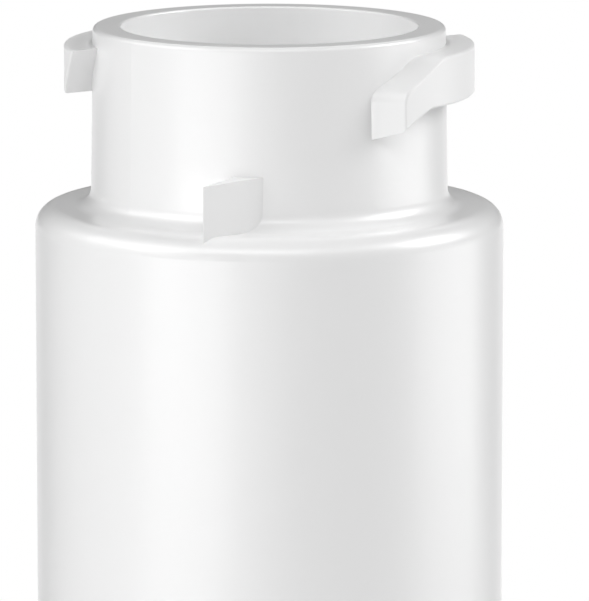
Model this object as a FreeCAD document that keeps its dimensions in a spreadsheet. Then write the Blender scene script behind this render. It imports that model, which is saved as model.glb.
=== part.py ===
"""Fridge water filter cartridge: a twist-in housing, its port stem, seals and carbon element.

Origin at the centre of the base, +Z up through the open neck, sizes in mm. The front of the part
faces -Y. Angles about the axis are measured from the front towards +X.
"""
import FreeCAD, Part
import os
import Sketcher

# Driving dimensions: name, value, what it sets
SIZES = [
    ("overall_height", 233.0, "base to rim"),
    ("body_dia", 70.0, "outside of the tube"),
    ("body_wall", 2.8, "tube wall"),
    ("neck_height", 26.85, "shoulder face to rim"),
    ("shoulder_wall", 3.4, "thickness of the shoulder"),
    ("shoulder_edge_round", 3.2, "outer edge of the shoulder"),
    ("neck_root_round", 2.5, "inner corner of the shoulder"),
    ("tube_corner_round", 1.2, "corner inside the tube, under the shoulder"),
    ("neck_dia", 52.6, "outside of the neck at the rim"),
    ("neck_taper", 0.8, "draft of the neck, degrees"),
    ("neck_wall", 4.15, "neck wall at the rim"),
    ("rim_outer_round", 0.7, "outer edge of the rim"),
    ("rim_inner_round", 0.3, "inner edge of the rim"),
    ("socket_depth", 22.0, "rim to neck floor"),
    ("socket_floor", 3.2, "thickness of the neck floor"),
    ("lug_reach", 4.3, "how far a lug stands out from the rim radius"),
    ("lug_angle", 75.0, "direction of the right lug, degrees from the front"),
    ("lug_top_drop", 2.6, "rim to lug top"),
    ("lug_thick", 7.3, "height of the level part of a lug"),
    ("lug_tail", 17.2, "lug centre line to its low end"),
    ("lug_lead", 7.8, "lug centre line to its high end at the root"),
    ("lug_lead_spread", 16.3, "how much further the high end reaches at the tip"),
    ("lug_lead_cut", 10.1, "run of the slanted lead-in face"),
    ("lug_ramp_run", 8.0, "run of the upper ramp"),
    ("lug_ramp_fall", 4.55, "fall of the upper ramp"),
    ("lug_under_run", 5.2, "run of the lower ramp"),
    ("lug_under_fall", 4.75, "fall of the lower ramp at its root"),
    ("lug_under_rise", 3.5, "rise of the lower ramp from root to tip"),
    ("lug_root_depth", 8.3, "root of a lug inside the neck surface"),
    ("lug_stock", 1.0, "stock on a lug that the turned outer face takes off"),
    ("lug_ramp_round", 6.0, "upper bend of the ramp"),
    ("lug_tail_round", 2.4, "low end of the ramp"),
    ("lug_under_round", 2.5, "bend under the lug"),
    ("lug_edge_round", 0.4, "outer edges of a lug"),
    ("tooth_angle", -16.1, "crest of the snap tooth, degrees from the front"),
    ("tooth_inset", 1.0, "crest inside the outside of the tube"),
    ("tooth_height", 7.9, "tooth above the shoulder, at the neck"),
    ("tooth_top_fall", 0.45, "fall of the tooth's top from neck to crest"),
    ("tooth_ramp_span", 20.9, "crest to ramp foot, degrees"),
    ("tooth_back_top", 7.3, "hook of the back face at the top, degrees"),
    ("tooth_back_root", 9.9, "spread of the back face at the root, degrees"),
    ("cap_height", 14.0, "height of the bottom cap to the weld seam"),
    ("seam_chamfer", 0.4, "edges at the weld seam"),
    ("weld_clear", 0.15, "radial clearance of the cap's tongue"),
    ("tongue_length", 6.0, "tongue above the weld seam"),
    ("tongue_wall", 2.6, "thickness of the tongue"),
    ("tongue_chamfer", 0.6, "lead-in of the tongue"),
    ("base_edge_round", 4.0, "outer edge of the base"),
    ("base_ring", 7.0, "width of the standing ring"),
    ("base_recess", 1.2, "recess inside the standing ring"),
    ("base_floor", 3.2, "thickness of the base"),
    ("rib_count", 6.0, "support ribs in the bottom cap"),
    ("rib_thick", 2.0, "thickness of a support rib"),
    ("rib_inner", 4.0, "inner end of a rib, radius"),
    ("stem_drop", 4.0, "rim to stem top"),
    ("stem_upper_dia", 17.0, "upper land of the stem"),
    ("stem_lower_dia", 28.0, "lower land of the stem"),
    ("stem_upper_length", 9.5, "stem top to the inlet step"),
    ("stem_nose_chamfer", 1.2, "lead-in at the stem top"),
    ("stem_step_chamfer", 0.8, "lead-in at the inlet step"),
    ("spigot_dia", 30.4, "spigot of the stem in the neck floor"),
    ("stem_clear", 0.2, "radial clearance of the spigot in the neck floor"),
    ("outlet_dia", 7.0, "outlet bore"),
    ("inlet_count", 6.0, "inlet holes"),
    ("inlet_dia", 2.2, "inlet hole"),
    ("inlet_pitch_dia", 20.2, "pitch circle of the inlet holes"),
    ("flange_dia", 38.0, "stem flange"),
    ("flange_thick", 4.0, "stem flange"),
    ("collar_length", 7.8, "collar below the flange"),
    ("collar_dia", 17.6, "outside of the collar"),
    ("nozzle_dia", 10.7, "nozzle of the upper end cap"),
    ("nozzle_clear", 0.15, "radial clearance of the nozzle"),
    ("nozzle_length", 8.5, "nozzle above the end cap"),
    ("nozzle_bore", 4.8, "bore of the nozzle"),
    ("nozzle_room", 1.5, "room above the nozzle"),
    ("land_seal_section", 2.4, "section of the two stem seals"),
    ("land_seal_stand", 0.2, "how far they stand out of the lands"),
    ("gasket_width", 2.0, "flat gasket in the stem flange"),
    ("gasket_thick", 1.5, "flat gasket in the stem flange"),
    ("nozzle_seal_section", 1.7, "section of the nozzle seal"),
    ("seal_clear", 0.05, "clearance of the nozzle seal"),
    ("groove_room", 0.3, "room beside a seal in its groove"),
    ("block_dia", 50.0, "carbon block"),
    ("block_bore", 15.0, "bore of the carbon block"),
    ("wrap_thick", 1.0, "felt sleeve"),
    ("net_thick", 0.8, "net sleeve"),
    ("net_columns", 9.0, "gaps round the net"),
    ("net_rows", 8.0, "gaps up the net"),
    ("net_bar", 2.4, "width of a net strand"),
    ("end_cap_thick", 3.0, "disc of an end cap"),
    ("end_cap_skirt", 7.0, "skirt of an end cap"),
    ("skirt_wall", 1.5, "wall of the skirt"),
    ("skirt_clear", 0.1, "radial clearance of the skirt"),
    ("plug_height", 5.0, "plug in the bore of the block"),
    ("plug_clear", 0.2, "radial clearance of the plug"),
    ("fin_count", 6.0, "centring fins"),
    ("fin_thick", 1.6, "thickness of a fin"),
    ("fin_clear", 0.3, "clearance of a fin in the tube"),
]
VALUE = {name: value for name, value, note in SIZES}

doc = FreeCAD.newDocument("filter_cartridge")
sheet = doc.addObject("Spreadsheet::Sheet", "Sizes")
for row, (name, value, note) in enumerate(SIZES, start=1):
    sheet.set(f"A{row}", note)
    sheet.set(f"B{row}", str(value))
    sheet.setAlias(f"B{row}", name)
doc.recompute()


def size(text):
    """Turns the bare names in an expression into references to the sheet."""
    words = []
    word = ""
    for sign in text + " ":
        if sign.isalnum() or sign == "_":
            word += sign
            continue
        if word in VALUE:
            word = "Sizes." + word
        words.append(word + sign)
        word = ""
    return "".join(words).strip()


# Heights and radii that follow from the driving dimensions
Z_RIM = "overall_height"
Z_SHOULDER = "(overall_height - neck_height)"
Z_FLOOR = "(overall_height - socket_depth)"
Z_FLOOR_UNDER = f"({Z_FLOOR} - socket_floor)"
Z_FLANGE_UNDER = f"({Z_FLOOR_UNDER} - flange_thick)"
Z_ELEMENT_TOP = f"({Z_FLANGE_UNDER} - collar_length)"
Z_BLOCK_TOP = f"({Z_ELEMENT_TOP} - end_cap_thick)"
Z_STEM_TOP = "(overall_height - stem_drop)"
Z_STEP = f"({Z_STEM_TOP} - stem_upper_length)"
Z_RIB_TOP = "(cap_height + tongue_length)"
Z_BLOCK_BASE = f"({Z_RIB_TOP} + end_cap_thick)"
R_BODY = "(body_dia / 2)"
R_TUBE = "(body_dia / 2 - body_wall)"
R_NECK = "(neck_dia / 2)"
R_NECK_ROOT = "(neck_dia / 2 + neck_height * tan(neck_taper * 1deg))"
R_SOCKET = "(neck_dia / 2 - neck_wall)"
R_LUG = "(neck_dia / 2 + lug_reach)"
R_BLOCK = "(block_dia / 2)"
R_WRAP = "(block_dia / 2 + wrap_thick)"
R_NET = "(block_dia / 2 + wrap_thick + net_thick)"
R_SKIRT_IN = f"({R_NET} + skirt_clear)"
R_SKIRT = f"({R_SKIRT_IN} + skirt_wall)"
R_UPPER = "(stem_upper_dia / 2)"
R_LOWER = "(stem_lower_dia / 2)"
R_NOZZLE = "(nozzle_dia / 2)"
R_SOCKET_STEM = "(nozzle_dia / 2 + nozzle_clear)"
R_SPIGOT = "(spigot_dia / 2)"
R_GASKET = "((spigot_dia + flange_dia) / 4)"


def reading(text):
    """The present value of an expression, worked out from the sheet."""
    value = sheet.evalExpression(size(text))
    return float(getattr(value, "Value", value))


def new_body(label):
    """A body of its own for one sub-part."""
    body = doc.addObject("PartDesign::Body", label)
    body.Label = label
    return body


def plane(body, role):
    """One of the body's own origin planes or axes."""
    for feature in body.Origin.OriginFeatures:
        if feature.Role == role:
            return feature
    raise ValueError(role)


def outline(body, name, role, corners, bindings=None, axis=(0, 0, 1)):
    """A closed sketch whose corners are each bound to the sheet in both directions."""
    sketch = body.newObject("Sketcher::SketchObject", name)
    sketch.AttachmentSupport = [(plane(body, role), "")]
    sketch.MapMode = "FlatFace"
    if bindings:
        sketch.AttachmentOffset = FreeCAD.Placement(
            FreeCAD.Vector(0, 0, 0), FreeCAD.Rotation(FreeCAD.Vector(*axis), 1.0))
        for path, text in bindings.items():
            sketch.setExpression(".AttachmentOffset." + path, size(text))
    points = [FreeCAD.Vector(reading(across), reading(up), 0) for across, up in corners]
    count = len(points)
    for index in range(count):
        sketch.addGeometry(Part.LineSegment(points[index], points[(index + 1) % count]), False)
    for index in range(count):
        sketch.addConstraint(Sketcher.Constraint("Coincident", index, 2, (index + 1) % count, 1))
    for index, (across, up) in enumerate(corners):
        bind(sketch, "DistanceX", index, across, points[index].x, -2)
        bind(sketch, "DistanceY", index, up, points[index].y, -1)
    doc.recompute()
    return sketch


def bind(sketch, kind, index, text, start, axis):
    """Holds one coordinate of a corner: on the axis, or at a distance given by the sheet."""
    if text == "0":
        sketch.addConstraint(Sketcher.Constraint("PointOnObject", index, 1, axis))
        return
    number = sketch.addConstraint(Sketcher.Constraint(kind, -1, 1, index, 1, start))
    sketch.setExpression(f"Constraints[{number}]", size(text))


def turned(body, name, corners, cut=False, halves=False):
    """A profile in radius and height turned about the axis, added or cut.

    The profile stands at an angle where its seam runs clear of the lugs and teeth. Two half turns
    keep the faces of the rounds on it even.
    """
    sketch = outline(body, name + "Profile", "XZ_Plane", corners, {"Rotation.Angle": "40"}, (0, 1, 0))
    feature = body.newObject("PartDesign::Groove" if cut else "PartDesign::Revolution", name)
    feature.Profile = (sketch, [""])
    feature.ReferenceAxis = (sketch, ["V_Axis"])
    feature.Angle = 180 if halves else 360
    feature.Refine = not halves
    sketch.Visibility = False
    doc.recompute()
    return repeated(body, name + "Halves", feature, 2, False) if halves else feature


def repeated(body, name, original, count, joined=True):
    """A ring of copies about the axis, with faces that run on from copy to copy joined or left apart."""
    ring = body.newObject("PartDesign::PolarPattern", name)
    ring.Originals = [original]
    ring.Refine = joined
    ring.Axis = (plane(body, "Z_Axis"), [""])
    ring.Angle = 360
    if isinstance(count, str):
        ring.setExpression("Occurrences", size(count))
    else:
        ring.Occurrences = count
    body.Tip = ring
    doc.recompute()
    return ring


def ring_edges(feature, rings):
    """Names of the full circles at the given radius and height."""
    found = []
    for number, edge in enumerate(feature.Shape.Edges, start=1):
        if not isinstance(edge.Curve, Part.Circle):
            continue
        centre = edge.Curve.Center
        if abs(centre.x) > 0.001 or abs(centre.y) > 0.001:
            continue
        for radius, height in rings:
            if abs(edge.Curve.Radius - radius) < 0.01 and abs(centre.z - height) < 0.01:
                found.append(f"Edge{number}")
    return found


def dressed(body, name, base, edges, amount, kind="Fillet", joined=True):
    """Rounds or chamfers named edges of a feature."""
    feature = body.newObject("PartDesign::" + kind, name)
    feature.Base = (base, edges)
    feature.Refine = joined
    feature.setExpression("Radius" if kind == "Fillet" else "Size", size(amount))
    body.Tip = feature
    doc.recompute()
    return feature


def rounded(body, name, rings, amount, kind="Fillet"):
    """Rounds or chamfers full circles of the body's tip, given in radius and height."""
    base = body.Tip
    places = [(reading(radius), reading(height)) for radius, height in rings]
    return dressed(body, name, base, ring_edges(base, places), amount, kind, base.Refine)


def lug_edges(feature, across, height):
    """Names of the straight edges of both lugs that cross their side view at one corner."""
    lug_turn = FreeCAD.Rotation(FreeCAD.Vector(0, 0, 1), reading("lug_angle"))
    outward = lug_turn.multVec(FreeCAD.Vector(0, -1, 0))
    along = lug_turn.multVec(FreeCAD.Vector(1, 0, 0))
    place = reading(across) - reading("lug_tail")
    found = []
    for number, edge in enumerate(feature.Shape.Edges, start=1):
        start = edge.valueAt(edge.FirstParameter)
        run = edge.valueAt(edge.LastParameter) - start
        side = 1 if start.dot(outward) > 0 else -1
        if abs(side * start.dot(along) - place) > 0.05 or abs(start.z - reading(height)) > 0.05:
            continue
        if run.Length > 0.1 and abs(run.dot(outward)) > 0.9 * run.Length:
            found.append(f"Edge{number}")
    return found


def rim_of_lugs(feature):
    """Names of the edges round the outer faces of the lugs."""
    radius = reading(R_LUG)
    found = []
    for number, edge in enumerate(feature.Shape.Edges, start=1):
        spots = [edge.valueAt(edge.FirstParameter + (edge.LastParameter - edge.FirstParameter) * part)
                 for part in (0.0, 0.3, 0.7, 1.0)]
        if all(abs((spot.x ** 2 + spot.y ** 2) ** 0.5 - radius) < 0.005 for spot in spots):
            if all(spot.z > reading(Z_SHOULDER) + reading("neck_root_round") for spot in spots):
                found.append(f"Edge{number}")
    return found


def lofted(body, name, first, second):
    """A straight loft between two sketches, added to the body."""
    feature = body.newObject("PartDesign::AdditiveLoft", name)
    feature.Profile = (first, [""])
    feature.Sections = [(second, [""])]
    feature.Ruled = True
    doc.recompute()
    return feature


def padded(body, name, sketch, thick):
    """A pad of the given thickness, half to each side of its sketch."""
    feature = body.newObject("PartDesign::Pad", name)
    feature.Profile = (sketch, [""])
    feature.SideType = "Symmetric"
    feature.setExpression("Length", size(thick))
    sketch.Visibility = False
    doc.recompute()
    return feature


def bored(body, name, sketch, depth):
    """A pocket from its sketch into the body, to a depth."""
    feature = body.newObject("PartDesign::Pocket", name)
    feature.Profile = (sketch, [""])
    feature.Type = "Length"
    feature.setExpression("Length", size(depth))
    sketch.Visibility = False
    doc.recompute()
    return feature


def circle(body, name, away, across, height):
    """A level sketch with one circle on the X axis."""
    sketch = body.newObject("Sketcher::SketchObject", name)
    sketch.AttachmentSupport = [(plane(body, "XY_Plane"), "")]
    sketch.MapMode = "FlatFace"
    sketch.setExpression(".AttachmentOffset.Base.z", size(height))
    centre = FreeCAD.Vector(reading(away), 0, 0)
    sketch.addGeometry(Part.Circle(centre, FreeCAD.Vector(0, 0, 1), reading(across) / 2), False)
    sketch.addConstraint(Sketcher.Constraint("PointOnObject", 0, 3, -1))
    bind_away = sketch.addConstraint(Sketcher.Constraint("DistanceX", -1, 1, 0, 3, centre.x))
    sketch.setExpression(f"Constraints[{bind_away}]", size(away))
    bind_across = sketch.addConstraint(Sketcher.Constraint("Diameter", 0, reading(across)))
    sketch.setExpression(f"Constraints[{bind_across}]", size(across))
    doc.recompute()
    return sketch


def tube(body, name, inner, outer, low, high):
    """A plain tube between two heights."""
    return turned(body, name, [(inner, low), (outer, low), (outer, high), (inner, high)])


def seal(label, ring, section, height):
    """An O-ring at a height on the axis."""
    torus = doc.addObject("Part::Torus", label)
    torus.Label = label
    torus.setExpression("Radius1", size(ring))
    torus.setExpression("Radius2", size(section))
    torus.setExpression(".Placement.Base.z", size(height))
    doc.recompute()
    return torus


def lug_section(body, name, away, lead, under_fall):
    """The side view of a ramp lug, on a plane square to the lug's direction."""
    top = "overall_height - lug_top_drop"
    under = f"{top} - lug_thick"
    corners = [
        ("0", f"{top} - lug_ramp_fall"),
        ("lug_ramp_run", top),
        (f"lug_tail + {lead}", top),
        (f"lug_tail + {lead} - lug_lead_cut", under),
        ("lug_under_run", under),
        ("0", f"{under} - {under_fall}"),
    ]
    bindings = {
        "Rotation.Angle": "lug_angle",
        "Base.x": f"{away} * sin(lug_angle * 1deg) - lug_tail * cos(lug_angle * 1deg)",
        "Base.z": f"{away} * cos(lug_angle * 1deg) + lug_tail * sin(lug_angle * 1deg)",
    }
    return outline(body, name, "XZ_Plane", corners, bindings, (0, 1, 0))


def tooth_section(body, name, height, back_turn):
    """The plan of the snap tooth at one height: crest, ramp foot and back foot."""
    root = f"({R_NECK_ROOT} - neck_wall / 2)"
    crest = f"({R_BODY} - tooth_inset)"
    corners = []
    for radius, turn in ((crest, "30"), (root, "(30 + tooth_ramp_span)"), (root, f"(30 {back_turn})")):
        corners.append((f"{radius} * cos({turn} * 1deg)", f"{radius} * sin({turn} * 1deg)"))
    bindings = {"Rotation.Angle": "tooth_angle - 120", "Base.z": height}
    return outline(body, name, "XY_Plane", corners, bindings)


# Housing: tube, shoulder, neck, lugs and snap tooth in one moulding
housing = new_body("housing")
turned(housing, "Blank", [
    ("0", "cap_height"),
    (R_BODY, "cap_height"),
    (R_BODY, Z_SHOULDER),
    (R_NECK_ROOT, Z_SHOULDER),
    (R_NECK, Z_RIM),
    ("0", Z_RIM),
], halves=True)
shelf = f"({R_BODY} - {R_NECK_ROOT})"
rounded(housing, "ShoulderEdge", [(R_BODY, Z_SHOULDER)], f"min(shoulder_edge_round; 0.5 * {shelf})")
rounded(housing, "NeckRoot", [(R_NECK_ROOT, Z_SHOULDER)], f"min(neck_root_round; 0.4 * {shelf})")
rounded(housing, "RimOuter", [(R_NECK, Z_RIM)], "rim_outer_round")
rounded(housing, "SeamEdge", [(R_BODY, "cap_height")], "seam_chamfer", "Chamfer")
lug_root = lug_section(housing, "LugRoot", f"({R_NECK} - lug_root_depth)", "lug_lead", "lug_under_fall")
lug_tip = lug_section(housing, "LugTip", f"({R_LUG} + lug_stock)", "lug_lead + lug_lead_spread",
                      "(lug_under_fall - lug_under_rise)")
lug = lofted(housing, "Lug", lug_root, lug_tip)
repeated(housing, "Lugs", lug, 2)
lug_floor = f"({Z_RIM} - lug_top_drop - lug_thick - lug_under_fall - lug_stock)"
trim_reach = f"({R_LUG} + lug_lead + lug_lead_spread)"
turned(housing, "LugTrim", [
    (R_LUG, lug_floor),
    (trim_reach, lug_floor),
    (trim_reach, Z_RIM),
    (R_LUG, Z_RIM),
], cut=True)
lug_under = "overall_height - lug_top_drop - lug_thick"
for name, across, height, amount in (
        ("LugRampBend", "lug_ramp_run", "overall_height - lug_top_drop", "lug_ramp_round"),
        ("LugUnderBend", "lug_under_run", lug_under, "lug_under_round"),
        ("LugTailBend", "0", "overall_height - lug_top_drop - lug_ramp_fall", "lug_tail_round")):
    dressed(housing, name, housing.Tip, lug_edges(housing.Tip, across, height), amount)
dressed(housing, "LugEdges", housing.Tip, rim_of_lugs(housing.Tip), "lug_edge_round")
tooth_root = tooth_section(housing, "ToothRoot", f"{Z_SHOULDER} - shoulder_wall / 2", "- tooth_back_root")
tooth_top = tooth_section(housing, "ToothHead", f"{Z_SHOULDER} + tooth_height", "+ tooth_back_top")
tooth = lofted(housing, "Tooth", tooth_root, tooth_top)
repeated(housing, "Teeth", tooth, 2)
tooth_crown = f"({Z_SHOULDER} + tooth_height)"
turned(housing, "ToothTop", [
    (R_NECK_ROOT, tooth_crown),
    (f"{R_BODY} - tooth_inset", f"{tooth_crown} - tooth_top_fall"),
    (f"{R_BODY} + tooth_inset", f"{tooth_crown} - tooth_top_fall"),
    (f"{R_BODY} + tooth_inset", f"{tooth_crown} + tooth_top_fall"),
    (R_NECK_ROOT, f"{tooth_crown} + tooth_top_fall"),
], cut=True)
turned(housing, "Inside", [
    ("0", "cap_height - 1"),
    (R_TUBE, "cap_height - 1"),
    (R_TUBE, f"{Z_SHOULDER} - shoulder_wall"),
    (R_SOCKET, f"{Z_SHOULDER} - shoulder_wall"),
    (R_SOCKET, Z_FLOOR_UNDER),
    (f"{R_SPIGOT} + stem_clear", Z_FLOOR_UNDER),
    (f"{R_SPIGOT} + stem_clear", Z_FLOOR),
    (R_SOCKET, Z_FLOOR),
    (R_SOCKET, f"{Z_RIM} + 1"),
    ("0", f"{Z_RIM} + 1"),
], cut=True, halves=True)
rounded(housing, "RimInner", [(R_SOCKET, Z_RIM)], "rim_inner_round")
rounded(housing, "TubeCorner", [(R_TUBE, f"{Z_SHOULDER} - shoulder_wall")], "tube_corner_round")

# Bottom cap: welded into the tube, with the ribs that carry the element
bottom_cap = new_body("bottom_cap")
R_TONGUE = f"({R_TUBE} - weld_clear)"
R_TONGUE_IN = f"({R_TONGUE} - tongue_wall)"
Z_CAP_FLOOR = "(base_recess + base_floor)"
turned(bottom_cap, "CapBlank", [
    ("0", "base_recess"),
    (f"{R_BODY} - base_edge_round - base_ring - base_recess", "base_recess"),
    (f"{R_BODY} - base_edge_round - base_ring", "0"),
    (R_BODY, "0"),
    (R_BODY, "cap_height"),
    (R_TONGUE, "cap_height"),
    (R_TONGUE, Z_RIB_TOP),
    (R_TONGUE_IN, Z_RIB_TOP),
    (R_TONGUE_IN, Z_CAP_FLOOR),
    ("0", Z_CAP_FLOOR),
], halves=True)
rounded(bottom_cap, "BaseEdge", [(R_BODY, "0")], "base_edge_round")
rounded(bottom_cap, "CapSeamEdge", [(R_BODY, "cap_height")], "seam_chamfer", "Chamfer")
rounded(bottom_cap, "TongueNose", [(R_TONGUE, Z_RIB_TOP)], "tongue_chamfer", "Chamfer")
rib_profile = outline(bottom_cap, "RibProfile", "XZ_Plane", [
    ("rib_inner", f"{Z_CAP_FLOOR} - base_floor / 2"),
    (f"{R_TONGUE_IN} + tongue_wall / 2", f"{Z_CAP_FLOOR} - base_floor / 2"),
    (f"{R_TONGUE_IN} + tongue_wall / 2", Z_RIB_TOP),
    ("rib_inner", Z_RIB_TOP),
])
rib = padded(bottom_cap, "Rib", rib_profile, "rib_thick")
repeated(bottom_cap, "Ribs", rib, "rib_count")

# Port stem: outlet in the middle, inlet holes in the step, held by its flange
port_stem = new_body("port_stem")
groove_width = "(land_seal_section + 2 * groove_room)"
groove_depth = "(land_seal_section - land_seal_stand)"
Z_UPPER_SEAL = f"({Z_STEP} + stem_upper_length / 2 - stem_nose_chamfer / 2)"
Z_LOWER_SEAL = f"(({Z_STEP} + {Z_FLOOR}) / 2)"
turned(port_stem, "StemBlank", [
    ("outlet_dia / 2", f"{Z_ELEMENT_TOP} + nozzle_length + nozzle_room"),
    (R_SOCKET_STEM, f"{Z_ELEMENT_TOP} + nozzle_length + nozzle_room"),
    (R_SOCKET_STEM, Z_ELEMENT_TOP),
    ("collar_dia / 2", Z_ELEMENT_TOP),
    ("collar_dia / 2", Z_FLANGE_UNDER),
    ("flange_dia / 2", Z_FLANGE_UNDER),
    ("flange_dia / 2", Z_FLOOR_UNDER),
    (R_SPIGOT, Z_FLOOR_UNDER),
    (R_SPIGOT, Z_FLOOR),
    (R_LOWER, Z_FLOOR),
    (R_LOWER, Z_STEP),
    (R_UPPER, Z_STEP),
    (R_UPPER, Z_STEM_TOP),
    ("outlet_dia / 2", Z_STEM_TOP),
])
for name, radius, height in (("UpperGroove", R_UPPER, Z_UPPER_SEAL), ("LowerGroove", R_LOWER, Z_LOWER_SEAL)):
    turned(port_stem, name, [
        (f"{radius} - {groove_depth}", f"{height} - {groove_width} / 2"),
        (f"{radius} + 1", f"{height} - {groove_width} / 2"),
        (f"{radius} + 1", f"{height} + {groove_width} / 2"),
        (f"{radius} - {groove_depth}", f"{height} + {groove_width} / 2"),
    ], cut=True)
gasket_half = "(gasket_width / 2 + groove_room)"
turned(port_stem, "GasketGroove", [
    (f"{R_GASKET} - {gasket_half}", f"{Z_FLOOR_UNDER} - gasket_thick"),
    (f"{R_GASKET} + {gasket_half}", f"{Z_FLOOR_UNDER} - gasket_thick"),
    (f"{R_GASKET} + {gasket_half}", f"{Z_FLOOR_UNDER} + gasket_thick"),
    (f"{R_GASKET} - {gasket_half}", f"{Z_FLOOR_UNDER} + gasket_thick"),
], cut=True)
inlet_plan = circle(port_stem, "InletPlan", "inlet_pitch_dia / 2", "inlet_dia", Z_STEP)
inlet = bored(port_stem, "Inlet", inlet_plan, f"{Z_STEP} - {Z_FLANGE_UNDER}")
repeated(port_stem, "Inlets", inlet, "inlet_count")
rounded(port_stem, "StemNose", [(R_UPPER, Z_STEM_TOP)], "stem_nose_chamfer", "Chamfer")
rounded(port_stem, "StepEdge", [(R_LOWER, Z_STEP)], "stem_step_chamfer", "Chamfer")

# Seals
seals = [
    seal("stem_upper_o_ring", f"{R_UPPER} - {groove_depth} + land_seal_section / 2", "land_seal_section / 2",
         Z_UPPER_SEAL),
    seal("stem_lower_o_ring", f"{R_LOWER} - {groove_depth} + land_seal_section / 2", "land_seal_section / 2",
         Z_LOWER_SEAL),
    seal("nozzle_o_ring", f"{R_SOCKET_STEM} - seal_clear - nozzle_seal_section / 2", "nozzle_seal_section / 2",
         f"{Z_ELEMENT_TOP} + nozzle_length / 2"),
]

stem_gasket = new_body("stem_gasket")
tube(stem_gasket, "Gasket", f"{R_GASKET} - gasket_width / 2", f"{R_GASKET} + gasket_width / 2",
     f"{Z_FLOOR_UNDER} - gasket_thick", Z_FLOOR_UNDER)

# Upper end cap: disc, skirt and the nozzle that plugs into the stem
upper_end_cap = new_body("upper_end_cap")
Z_NOZZLE_TOP = f"({Z_ELEMENT_TOP} + nozzle_length)"
turned(upper_end_cap, "UpperCapBlank", [
    ("nozzle_bore / 2", Z_BLOCK_TOP),
    (R_SKIRT_IN, Z_BLOCK_TOP),
    (R_SKIRT_IN, f"{Z_BLOCK_TOP} - end_cap_skirt"),
    (R_SKIRT, f"{Z_BLOCK_TOP} - end_cap_skirt"),
    (R_SKIRT, Z_ELEMENT_TOP),
    (R_NOZZLE, Z_ELEMENT_TOP),
    (R_NOZZLE, Z_NOZZLE_TOP),
    ("nozzle_bore / 2", Z_NOZZLE_TOP),
])
nozzle_groove = "(nozzle_seal_section / 2 + groove_room)"
Z_NOZZLE_SEAL = f"({Z_ELEMENT_TOP} + nozzle_length / 2)"
turned(upper_end_cap, "NozzleGroove", [
    (f"{R_SOCKET_STEM} - nozzle_seal_section - 2 * seal_clear", f"{Z_NOZZLE_SEAL} - {nozzle_groove}"),
    (f"{R_NOZZLE} + 1", f"{Z_NOZZLE_SEAL} - {nozzle_groove}"),
    (f"{R_NOZZLE} + 1", f"{Z_NOZZLE_SEAL} + {nozzle_groove}"),
    (f"{R_SOCKET_STEM} - nozzle_seal_section - 2 * seal_clear", f"{Z_NOZZLE_SEAL} + {nozzle_groove}"),
], cut=True)

# Carbon block, felt sleeve and net sleeve
carbon_block = new_body("carbon_block")
tube(carbon_block, "Block", "block_bore / 2", R_BLOCK, Z_BLOCK_BASE, Z_BLOCK_TOP)
prefilter_wrap = new_body("prefilter_wrap")
tube(prefilter_wrap, "Felt", R_BLOCK, R_WRAP, Z_BLOCK_BASE, Z_BLOCK_TOP)
outer_netting = new_body("outer_netting")
tube(outer_netting, "Net", R_WRAP, R_NET, Z_BLOCK_BASE, Z_BLOCK_TOP)
net_span = f"({Z_BLOCK_TOP} - {Z_BLOCK_BASE} - 2 * end_cap_skirt)"
gap_tall = f"({net_span} / net_rows - net_bar)"
gap_wide = f"(2 * {R_NET} * sin(180deg / net_columns) - 2 * net_bar)"
gap_base = f"({Z_BLOCK_BASE} + end_cap_skirt + net_bar / 2)"
gap_sketch = outline(outer_netting, "GapOutline", "XZ_Plane", [
    ("0", f"{gap_base} + {gap_tall} / 2"),
    (f"{gap_wide} / 2", gap_base),
    (gap_wide, f"{gap_base} + {gap_tall} / 2"),
    (f"{gap_wide} / 2", f"{gap_base} + {gap_tall}"),
], {"Base.x": f"0 - {gap_wide} / 2", "Rotation.Angle": "0"})
gap = bored(outer_netting, "Opening", gap_sketch, f"{R_NET} + 1")
column = outer_netting.newObject("PartDesign::MultiTransform", "Openings")
column.Originals = [gap]
up_copies = outer_netting.newObject("PartDesign::LinearPattern", "OpeningRows")
up_copies.Direction = (plane(outer_netting, "Z_Axis"), [""])
up_copies.setExpression("Occurrences", size("net_rows"))
up_copies.setExpression("Length", size(f"{net_span} / net_rows * (net_rows - 1)"))
round_copies = outer_netting.newObject("PartDesign::PolarPattern", "OpeningColumns")
round_copies.Axis = (plane(outer_netting, "Z_Axis"), [""])
round_copies.Angle = 360
round_copies.setExpression("Occurrences", size("net_columns"))
column.Transformations = [up_copies, round_copies]
outer_netting.Tip = column
doc.recompute()

# Lower end cap: disc, skirt, plug and centring fins
lower_end_cap = new_body("lower_end_cap")
R_PLUG = "(block_bore / 2 - plug_clear)"
turned(lower_end_cap, "LowerCapBlank", [
    ("0", Z_RIB_TOP),
    (R_SKIRT, Z_RIB_TOP),
    (R_SKIRT, f"{Z_BLOCK_BASE} + end_cap_skirt"),
    (R_SKIRT_IN, f"{Z_BLOCK_BASE} + end_cap_skirt"),
    (R_SKIRT_IN, Z_BLOCK_BASE),
    (R_PLUG, Z_BLOCK_BASE),
    (R_PLUG, f"{Z_BLOCK_BASE} + plug_height"),
    ("0", f"{Z_BLOCK_BASE} + plug_height"),
])
fin_profile = outline(lower_end_cap, "FinProfile", "XZ_Plane", [
    (f"{R_SKIRT} - skirt_wall / 2", f"{Z_RIB_TOP} + end_cap_thick / 2"),
    (f"{R_TUBE} - fin_clear", f"{Z_RIB_TOP} + end_cap_thick"),
    (f"{R_TUBE} - fin_clear", f"{Z_BLOCK_BASE} + end_cap_skirt"),
    (f"{R_SKIRT} - skirt_wall / 2", f"{Z_BLOCK_BASE} + end_cap_skirt"),
])
fin = padded(lower_end_cap, "Fin", fin_profile, "fin_thick")
repeated(lower_end_cap, "Fins", fin, "fin_count")

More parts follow.
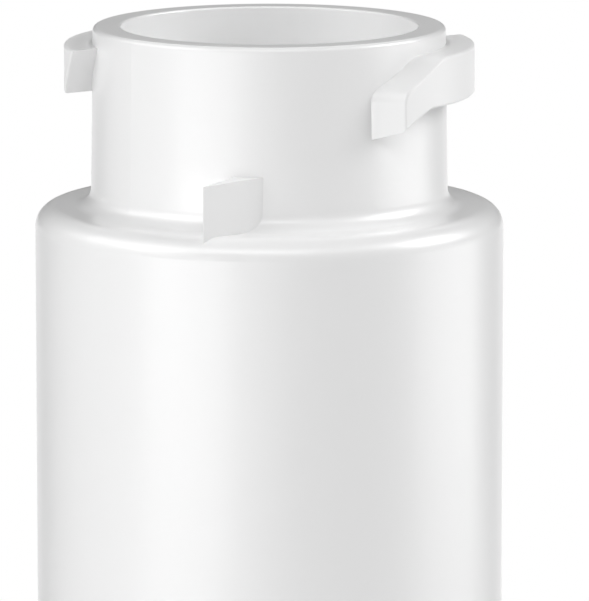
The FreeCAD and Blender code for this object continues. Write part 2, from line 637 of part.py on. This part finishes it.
# Checks and export
doc.recompute()
pieces = [housing, bottom_cap, port_stem, stem_gasket, upper_end_cap, carbon_block, prefilter_wrap, outer_netting,
          lower_end_cap] + seals
for item in doc.Objects:
    if "Invalid" in item.State or "Error" in item.State:
        raise RuntimeError("not built: " + item.Name)
for piece in pieces:
    if piece.Shape.isNull() or not piece.Shape.isValid() or len(piece.Shape.Solids) != 1:
        raise RuntimeError("not one sound solid: " + piece.Label)
os.makedirs("parts", exist_ok=True)
for piece in pieces:
    piece.Shape.exportStep(os.path.join("parts", piece.Label + ".step"))
    print(piece.Label, round(piece.Shape.Volume), "mm3")
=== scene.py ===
import math

import bpy
import numpy as np
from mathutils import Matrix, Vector

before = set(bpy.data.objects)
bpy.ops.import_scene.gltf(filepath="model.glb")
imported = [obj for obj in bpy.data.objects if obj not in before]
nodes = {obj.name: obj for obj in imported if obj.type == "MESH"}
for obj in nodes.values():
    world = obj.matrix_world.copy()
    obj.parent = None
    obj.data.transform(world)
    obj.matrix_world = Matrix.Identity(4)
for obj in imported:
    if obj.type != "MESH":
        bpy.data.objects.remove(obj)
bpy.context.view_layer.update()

# Picture and camera, sizes in metres
PICTURE_TALL_PX = 601
SENSOR_MM = 36.0
FOCAL_PX = 6570.0
CAMERA_AWAY = 0.985
CAMERA_ELEVATION = math.radians(9.7)
CAMERA_TARGET = Vector((0.00375, 0.0, 0.1914))
CAMERA_SIGHT = 50.0

# Light: levels, and sizes in metres
WHITE = (1.0, 1.0, 1.0, 1.0)
WORLD_FILL = 0.1
LAMP_MIDDLE = Vector((0.0, 0.0, 0.17))
# name, degrees round from the front, degrees up, distance, width, height, level
SOFT_BOXES = (
    ("left_box", -62.0, 30.0, 0.7, 0.30, 0.24, 0.275),
    ("left_side_box", -98.0, 30.0, 0.7, 0.36, 0.24, 0.13),
    ("left_strip", -40.0, -6.0, 0.6, 0.46, 0.16, 0.20),
    ("right_box", 93.0, 32.0, 0.7, 0.40, 0.30, 0.56),
    ("right_strip", 97.0, -6.0, 0.6, 0.50, 0.16, 0.14),
    ("front_strip", -10.0, -6.0, 0.6, 0.36, 0.14, 0.055),
    ("high_box", -6.0, 45.0, 0.7, 0.60, 0.16, 0.295),
    ("high_right_box", 58.0, 45.0, 0.7, 0.40, 0.16, 0.06),
    ("high_left_box", -62.0, 48.0, 0.7, 0.40, 0.16, 0.075),
    ("back_box", 180.0, 46.0, 0.8, 0.60, 0.24, 0.125),
)

# Floor: sizes in metres, the lane's edges as the share of its course that runs straight back
FLOOR_WHITE = 0.8
FLOOR_ROUGHNESS = 0.9
FLOOR_REACH = 6.0
FLOOR_SIDES = 96
FLOOR_NEAR = 0.25
FLOOR_FAR = 0.6
FLOOR_HORIZON = 2.2
FLOOR_HAZE = 0.32
LANE_WHITE = 1.0
LANE_OUTER = 0.8
LANE_INNER = 0.97

# Part of the clouds' values that a finish spreads over its own range
CLOUD_LOW = 0.3
CLOUD_HIGH = 0.7

# Plastic: streaks, clouds and grains to the metre, depth in metres
PLASTIC_IOR = 1.5
SKIN_ROUGHNESS = 0.3
FLOW_STREAKS = 45.0
FLOW_STRETCH = 0.25
FLOW_DETAIL = 3.0
GLOSS_CLOUDS = 60.0
GLOSS_DETAIL = 2.0
MOULD_GRAINS = 2600.0
MOULD_GRAIN_DETAIL = 1.0
MOULD_GRAIN_DEPTH = 0.000002
# node: material, darker and lighter tone, least and most roughness, weight of the smoother skin
PLASTICS = {
    "housing": ("housing_white", (0.86, 0.86, 0.86), (0.88, 0.88, 0.88), 0.37, 0.43, 1.0),
    "bottom_cap": ("cap_white", (0.8, 0.8, 0.8), (0.83, 0.83, 0.83), 0.39, 0.46, 0.8),
    "port_stem": ("stem_white", (0.73, 0.74, 0.74), (0.78, 0.79, 0.79), 0.34, 0.44, 0.4),
    "upper_end_cap": ("end_cap_grey", (0.55, 0.57, 0.59), (0.61, 0.63, 0.65), 0.4, 0.52, 0.2),
    "outer_netting": ("net_white", (0.74, 0.77, 0.8), (0.82, 0.84, 0.86), 0.36, 0.5, 0.2),
}

# Housing: places where its finish changes, in metres, and the finish there; the lighter white inside the
# socket is painted light
SOCKET_RADIUS = 0.0222
SOCKET_BLEND = 0.0006
# Painted light: a lighter white inside the socket, standing for the brighter light that falls there
SOCKET_PAINTED_LIGHT = (0.95, 0.95, 0.95)
SHOULDER_HEIGHT = 0.2062
LUG_ROOT_RADIUS = 0.02675
LUG_BLEND = 0.00035
LUG_LOW = 0.2088
LUG_ROUGHNESS = 0.6
LUG_SKIN = 0.45
TOOTH_FACING = (0.5788, -0.8155, 0.0)
TOOTH_FACE_AWAY = 0.02118
TOOTH_FACE_HAIR = 0.0001
TOOTH_RIGHT_END = -0.0006

# Rubber: clouds and grains to the metre, depth in metres
RUBBER_CLOUDS = 220.0
RUBBER_DETAIL = 4.0
RUBBER_LEAST_ROUGH = 0.48
RUBBER_MOST_ROUGH = 0.66
RUBBER_GRAINS = 3000.0
RUBBER_GRAIN_DETAIL = 2.0
RUBBER_GRAIN_DEPTH = 0.00001
# node: material, darker and lighter tone
RUBBERS = {
    "stem_upper_o_ring": ("o_ring_rubber", (0.014, 0.014, 0.015), (0.034, 0.034, 0.036)),
    "stem_gasket": ("gasket_rubber", (0.03, 0.03, 0.032), (0.055, 0.055, 0.058)),
}

# Carbon: grains to the metre, depth in metres
CARBON_GRAINS = 1300.0
CARBON_PIT_DEPTH = 0.00025
CARBON_DARK = (0.008, 0.008, 0.009)
CARBON_LIGHT = (0.05, 0.05, 0.052)
CARBON_LEAST_ROUGH = 0.7
CARBON_MOST_ROUGH = 0.92

# Felt: fibres to the metre, depth in metres
FELT_FIBRES = 420.0
FELT_STRETCH = 5.0
FELT_DETAIL = 6.0
FELT_DEPTH = 0.0002
FELT_DARK = (0.62, 0.6, 0.55)
FELT_LIGHT = (0.82, 0.81, 0.77)
FELT_ROUGHNESS = 0.95
FELT_SHEEN = 0.3

# Node: the node whose finish it shares
SHARED_FINISHES = {
    "lower_end_cap": "upper_end_cap",
    "stem_lower_o_ring": "stem_upper_o_ring",
    "nozzle_o_ring": "stem_upper_o_ring",
}

scene = bpy.context.scene
scene.view_settings.view_transform = "Standard"


def add_camera():
    """Camera on the front side, raised by its elevation, looking at the upper half of the cartridge."""
    back = Vector((0.0, -math.cos(CAMERA_ELEVATION), math.sin(CAMERA_ELEVATION)))
    camera_data = bpy.data.cameras.new("front_camera")
    camera_data.sensor_width = SENSOR_MM
    camera_data.lens = SENSOR_MM * FOCAL_PX / PICTURE_TALL_PX
    camera_data.clip_end = CAMERA_SIGHT
    camera = bpy.data.objects.new("front_camera", camera_data)
    camera.location = CAMERA_TARGET + CAMERA_AWAY * back
    camera.rotation_euler = back.to_track_quat("Z", "Y").to_euler()
    scene.collection.objects.link(camera)
    scene.camera = camera


def add_world():
    """Even grey studio walls all round."""
    world = bpy.data.worlds.new("grey_studio")
    scene.world = world
    world.use_nodes = True
    walls = world.node_tree.nodes["Background"]
    walls.inputs["Color"].default_value = WHITE
    walls.inputs["Strength"].default_value = WORLD_FILL


def add_lamps():
    """Soft boxes round the part, each aimed at its middle. A level of 1 lights a white face to white."""
    for name, round_deg, up_deg, away, wide, tall, level in SOFT_BOXES:
        turn = math.radians(round_deg)
        rise = math.radians(up_deg)
        toward = Vector((math.sin(turn) * math.cos(rise), -math.cos(turn) * math.cos(rise), math.sin(rise)))
        lamp_data = bpy.data.lights.new(name, "AREA")
        lamp_data.shape = "RECTANGLE"
        lamp_data.size = wide
        lamp_data.size_y = tall
        lamp_data.energy = level * (math.pi * away) ** 2
        lamp = bpy.data.objects.new(name, lamp_data)
        lamp.location = LAMP_MIDDLE + away * toward
        lamp.rotation_euler = toward.to_track_quat("Z", "Y").to_euler()
        scene.collection.objects.link(lamp)


def new_material(name):
    """Empty node material with its shader and output, as (material, node tree, shader)."""
    material = bpy.data.materials.new(name)
    material.use_nodes = True
    tree = material.node_tree
    tree.nodes.clear()
    output = tree.nodes.new("ShaderNodeOutputMaterial")
    shader = tree.nodes.new("ShaderNodeBsdfPrincipled")
    tree.links.new(shader.outputs["BSDF"], output.inputs["Surface"])
    return material, tree, shader


def only_node(tree, kind):
    """The one node of its kind in a material."""
    return next(node for node in tree.nodes if node.type == kind)


def object_place(tree):
    """Place on the piece in metres, the same for every piece because all share one origin."""
    return tree.nodes.new("ShaderNodeTexCoord").outputs["Object"]


def stretched(tree, place, across, along):
    """Place with its X and Y scaled by one number and its Z by another."""
    mapping = tree.nodes.new("ShaderNodeMapping")
    mapping.inputs["Scale"].default_value = (across, across, along)
    tree.links.new(place, mapping.inputs["Vector"])
    return mapping.outputs["Vector"]


def axis_distance(tree, place):
    """Distance from the cartridge's upright axis."""
    radius = tree.nodes.new("ShaderNodeVectorMath")
    radius.operation = "LENGTH"
    tree.links.new(stretched(tree, place, 1.0, 0.0), radius.inputs[0])
    return radius.outputs["Value"]


def split(tree, vector):
    """X, Y and Z of a vector, each as a value of its own."""
    parts = tree.nodes.new("ShaderNodeSeparateXYZ")
    tree.links.new(vector, parts.inputs[0])
    return parts.outputs


def noise(tree, place, scale, detail):
    """Cloudy value from 0 to 1, with so many clouds to the metre."""
    clouds = tree.nodes.new("ShaderNodeTexNoise")
    clouds.inputs["Scale"].default_value = scale
    clouds.inputs["Detail"].default_value = detail
    tree.links.new(place, clouds.inputs["Vector"])
    return clouds.outputs["Fac"]


def grains(tree, place, scale):
    """Distance to the middle of the nearest grain and a random tone for each grain, so many to the metre."""
    cells = tree.nodes.new("ShaderNodeTexVoronoi")
    cells.inputs["Scale"].default_value = scale
    tree.links.new(place, cells.inputs["Vector"])
    return cells.outputs["Distance"], cells.outputs["Color"]


def ranged(tree, value, low, high):
    """Value from the middle of the clouds, spread over a range."""
    spread = tree.nodes.new("ShaderNodeMapRange")
    spread.inputs["From Min"].default_value = CLOUD_LOW
    spread.inputs["From Max"].default_value = CLOUD_HIGH
    spread.inputs["To Min"].default_value = low
    spread.inputs["To Max"].default_value = high
    tree.links.new(value, spread.inputs["Value"])
    return spread.outputs["Result"]


def smooth_step(tree, value, low, high):
    """Rises softly from 0 at the low value to 1 at the high one."""
    step = tree.nodes.new("ShaderNodeMapRange")
    step.interpolation_type = "SMOOTHSTEP"
    step.inputs["From Min"].default_value = low
    step.inputs["From Max"].default_value = high
    tree.links.new(value, step.inputs["Value"])
    return step.outputs["Result"]


def tested(tree, operation, value, *limits):
    """1 where the value passes a test against its limits, 0 elsewhere."""
    test = tree.nodes.new("ShaderNodeMath")
    test.operation = operation
    for number, limit in enumerate(limits, 1):
        test.inputs[number].default_value = limit
    tree.links.new(value, test.inputs[0])
    return test.outputs[0]


def joined(tree, operation, first, second):
    """Two values joined by an operation: MULTIPLY where both have to hold, MAXIMUM where either does."""
    join = tree.nodes.new("ShaderNodeMath")
    join.operation = operation
    tree.links.new(first, join.inputs[0])
    tree.links.new(second, join.inputs[1])
    return join.outputs[0]


def toned(tree, shader, value, dark, light):
    """Base colour between two tones, by a value from 0 to 1."""
    tone = tree.nodes.new("ShaderNodeMix")
    tone.data_type = "RGBA"
    tone.inputs["A"].default_value = (*dark, 1.0)
    tone.inputs["B"].default_value = (*light, 1.0)
    tree.links.new(value, tone.inputs["Factor"])
    tree.links.new(tone.outputs["Result"], shader.inputs["Base Color"])


def embossed(tree, shader, height, depth):
    """Bumps of a depth in metres from a height value."""
    bump = tree.nodes.new("ShaderNodeBump")
    bump.inputs["Strength"].default_value = 1.0
    bump.inputs["Distance"].default_value = depth
    tree.links.new(height, bump.inputs["Height"])
    tree.links.new(bump.outputs["Normal"], shader.inputs["Normal"])


def moulded_plastic(name, dark, light, rough_low, rough_high, skin):
    """Injection-moulded plastic: faint flow streaks of tone, uneven satin gloss under a smoother skin
    and a very fine grain from the mould."""
    material, tree, shader = new_material(name)
    place = object_place(tree)
    streaks = noise(tree, stretched(tree, place, 1.0, FLOW_STRETCH), FLOW_STREAKS, FLOW_DETAIL)
    toned(tree, shader, ranged(tree, streaks, 0.0, 1.0), dark, light)
    cloudy = ranged(tree, noise(tree, place, GLOSS_CLOUDS, GLOSS_DETAIL), rough_low, rough_high)
    tree.links.new(cloudy, shader.inputs["Roughness"])
    embossed(tree, shader, noise(tree, place, MOULD_GRAINS, MOULD_GRAIN_DETAIL), MOULD_GRAIN_DEPTH)
    shader.inputs["IOR"].default_value = PLASTIC_IOR
    shader.inputs["Coat Weight"].default_value = skin
    shader.inputs["Coat Roughness"].default_value = SKIN_ROUGHNESS
    return material


def paint_light_in_socket(material):
    """Painted light: a lighter white inside the socket of the neck, standing for the brighter light that
    falls there, by the distance from the axis."""
    tree = material.node_tree
    shader = only_node(tree, "BSDF_PRINCIPLED")
    outer_tone = shader.inputs["Base Color"].links[0].from_socket
    radius = axis_distance(tree, object_place(tree))
    outside = smooth_step(tree, radius, SOCKET_RADIUS, SOCKET_RADIUS + SOCKET_BLEND)
    tone = tree.nodes.new("ShaderNodeMix")
    tone.data_type = "RGBA"
    tone.inputs["A"].default_value = (*SOCKET_PAINTED_LIGHT, 1.0)
    tree.links.new(outside, tone.inputs["Factor"])
    tree.links.new(outer_tone, tone.inputs["B"])
    tree.links.new(tone.outputs["Result"], shader.inputs["Base Color"])


def tooth_front(tree, place):
    """1 on the flat front of the snap tooth, the points within a hair of that face's plane, left of its
    right end and above the shoulder."""
    along = tree.nodes.new("ShaderNodeVectorMath")
    along.operation = "DOT_PRODUCT"
    along.inputs[1].default_value = TOOTH_FACING
    tree.links.new(place, along.inputs[0])
    parts = split(tree, place)
    on_plane = tested(tree, "COMPARE", along.outputs["Value"], TOOTH_FACE_AWAY, TOOTH_FACE_HAIR)
    left = tested(tree, "LESS_THAN", parts["X"], TOOTH_RIGHT_END)
    above = tested(tree, "GREATER_THAN", parts["Z"], SHOULDER_HEIGHT)
    return joined(tree, "MULTIPLY", joined(tree, "MULTIPLY", on_plane, left), above)


def dull_lugs(material):
    """More matte lugs and snap tooth: rougher and with less of the smoother skin, on what stands out
    from the neck and on the whole front of the tooth."""
    tree = material.node_tree
    shader = only_node(tree, "BSDF_PRINCIPLED")
    place = object_place(tree)
    out = smooth_step(tree, axis_distance(tree, place), LUG_ROOT_RADIUS, LUG_ROOT_RADIUS + LUG_BLEND)
    above = tested(tree, "GREATER_THAN", split(tree, place)["Z"], LUG_LOW)
    standing = joined(tree, "MULTIPLY", out, above)
    matte = joined(tree, "MAXIMUM", standing, tooth_front(tree, place))
    rough = tree.nodes.new("ShaderNodeMix")
    rough.inputs["B"].default_value = LUG_ROUGHNESS
    tree.links.new(matte, rough.inputs["Factor"])
    tree.links.new(shader.inputs["Roughness"].links[0].from_socket, rough.inputs["A"])
    tree.links.new(rough.outputs["Result"], shader.inputs["Roughness"])
    skin = tree.nodes.new("ShaderNodeMapRange")
    skin.inputs["To Min"].default_value = shader.inputs["Coat Weight"].default_value
    skin.inputs["To Max"].default_value = LUG_SKIN
    tree.links.new(matte, skin.inputs["Value"])
    tree.links.new(skin.outputs["Result"], shader.inputs["Coat Weight"])


def seal_rubber(name, dark, light):
    """Black moulded rubber: matte, with a faint bloom in clouds and a fine grain."""
    material, tree, shader = new_material(name)
    place = object_place(tree)
    bloom = ranged(tree, noise(tree, place, RUBBER_CLOUDS, RUBBER_DETAIL), 0.0, 1.0)
    toned(tree, shader, bloom, dark, light)
    rough = ranged(tree, bloom, RUBBER_LEAST_ROUGH, RUBBER_MOST_ROUGH)
    tree.links.new(rough, shader.inputs["Roughness"])
    embossed(tree, shader, noise(tree, place, RUBBER_GRAINS, RUBBER_GRAIN_DETAIL), RUBBER_GRAIN_DEPTH)
    return material


def pressed_carbon():
    """Pressed activated carbon: packed black grains, each with its own tone, and pits between them."""
    material, tree, shader = new_material("pressed_carbon")
    distance, tone = grains(tree, object_place(tree), CARBON_GRAINS)
    grey = tree.nodes.new("ShaderNodeRGBToBW")
    tree.links.new(tone, grey.inputs["Color"])
    toned(tree, shader, grey.outputs["Val"], CARBON_DARK, CARBON_LIGHT)
    rough = ranged(tree, grey.outputs["Val"], CARBON_LEAST_ROUGH, CARBON_MOST_ROUGH)
    tree.links.new(rough, shader.inputs["Roughness"])
    embossed(tree, shader, distance, -CARBON_PIT_DEPTH)
    return material


def sediment_felt():
    """Pale needled felt: fine fibres that run mostly round the sleeve, with soft lumps."""
    material, tree, shader = new_material("sediment_felt")
    fibres = noise(tree, stretched(tree, object_place(tree), 1.0, FELT_STRETCH), FELT_FIBRES, FELT_DETAIL)
    toned(tree, shader, ranged(tree, fibres, 0.0, 1.0), FELT_DARK, FELT_LIGHT)
    shader.inputs["Roughness"].default_value = FELT_ROUGHNESS
    shader.inputs["Sheen Weight"].default_value = FELT_SHEEN
    embossed(tree, shader, fibres, FELT_DEPTH)
    return material


def ray_share(tree):
    """1 for rays from the camera, from a reflection or through glass, and 0 for the rest."""
    path = tree.nodes.new("ShaderNodeLightPath").outputs
    seen = joined(tree, "MAXIMUM", path["Is Camera Ray"], path["Is Glossy Ray"])
    return joined(tree, "MAXIMUM", seen, path["Is Transmission Ray"])


def plain_light(tree, name, strength):
    """Emission of plain white light at a strength."""
    light = tree.nodes.new("ShaderNodeEmission")
    light.name = name
    light.inputs["Color"].default_value = WHITE
    light.inputs["Strength"].default_value = strength
    return light.outputs["Emission"]


def mixed(tree, share, first, second):
    """Surface between two shaders, by the share of the second."""
    mix = tree.nodes.new("ShaderNodeMixShader")
    tree.links.new(share, mix.inputs["Fac"])
    tree.links.new(first, mix.inputs[1])
    tree.links.new(second, mix.inputs[2])
    return mix.outputs[0]


def floor_lane(tree, place):
    """1 in a lane that runs back from the part, 0 beside it, by the course from the part to a point."""
    course = tree.nodes.new("ShaderNodeVectorMath")
    course.operation = "NORMALIZE"
    tree.links.new(place, course.inputs[0])
    return smooth_step(tree, split(tree, course.outputs["Vector"])["Y"], LANE_OUTER, LANE_INNER)


def floor_finish():
    """Pale floor that takes the shadow near the part. Further out it runs into a pale haze, and a lane
    behind the part runs out to plain white."""
    material, tree, shader = new_material("pale_floor")
    shader.inputs["Base Color"].default_value = (FLOOR_WHITE, FLOOR_WHITE, FLOOR_WHITE, 1.0)
    shader.inputs["Roughness"].default_value = FLOOR_ROUGHNESS
    place = object_place(tree)
    reach = axis_distance(tree, place)
    seen = ray_share(tree)
    far = joined(tree, "MULTIPLY", smooth_step(tree, reach, FLOOR_FAR, FLOOR_HORIZON), seen)
    away = joined(tree, "MULTIPLY", smooth_step(tree, reach, FLOOR_NEAR, FLOOR_FAR), seen)
    behind = joined(tree, "MULTIPLY", away, floor_lane(tree, place))
    hazy = mixed(tree, far, shader.outputs["BSDF"], plain_light(tree, "plain haze", FLOOR_HAZE))
    ground = mixed(tree, behind, hazy, plain_light(tree, "plain white", LANE_WHITE))
    tree.links.new(ground, only_node(tree, "OUTPUT_MATERIAL").inputs["Surface"])
    return material


def add_floor():
    """Round floor in the plane z = 0: points at even angles on one circle, closed by one flat face."""
    turn = np.linspace(0.0, 2.0 * np.pi, FLOOR_SIDES, endpoint=False)
    ring = np.column_stack([np.cos(turn), np.sin(turn), np.zeros(FLOOR_SIDES)]) * FLOOR_REACH
    mesh = bpy.data.meshes.new("studio_floor")
    mesh.from_pydata(ring.tolist(), [], [list(range(FLOOR_SIDES))])
    mesh.materials.append(floor_finish())
    floor = bpy.data.objects.new("studio_floor", mesh)
    scene.collection.objects.link(floor)


def all_finishes():
    """Material of each node, by the node's name."""
    finishes = {node: moulded_plastic(*look) for node, look in PLASTICS.items()}
    # Painted light inside the socket: a lighter white for the brighter light that falls there
    paint_light_in_socket(finishes["housing"])
    dull_lugs(finishes["housing"])
    for node, look in RUBBERS.items():
        finishes[node] = seal_rubber(*look)
    finishes["carbon_block"] = pressed_carbon()
    finishes["prefilter_wrap"] = sediment_felt()
    for node, other in SHARED_FINISHES.items():
        finishes[node] = finishes[other]
    return finishes


add_camera()
add_world()
add_floor()
add_lamps()
for name, finish in all_finishes().items():
    nodes[name].data.materials.clear()
    nodes[name].data.materials.append(finish)
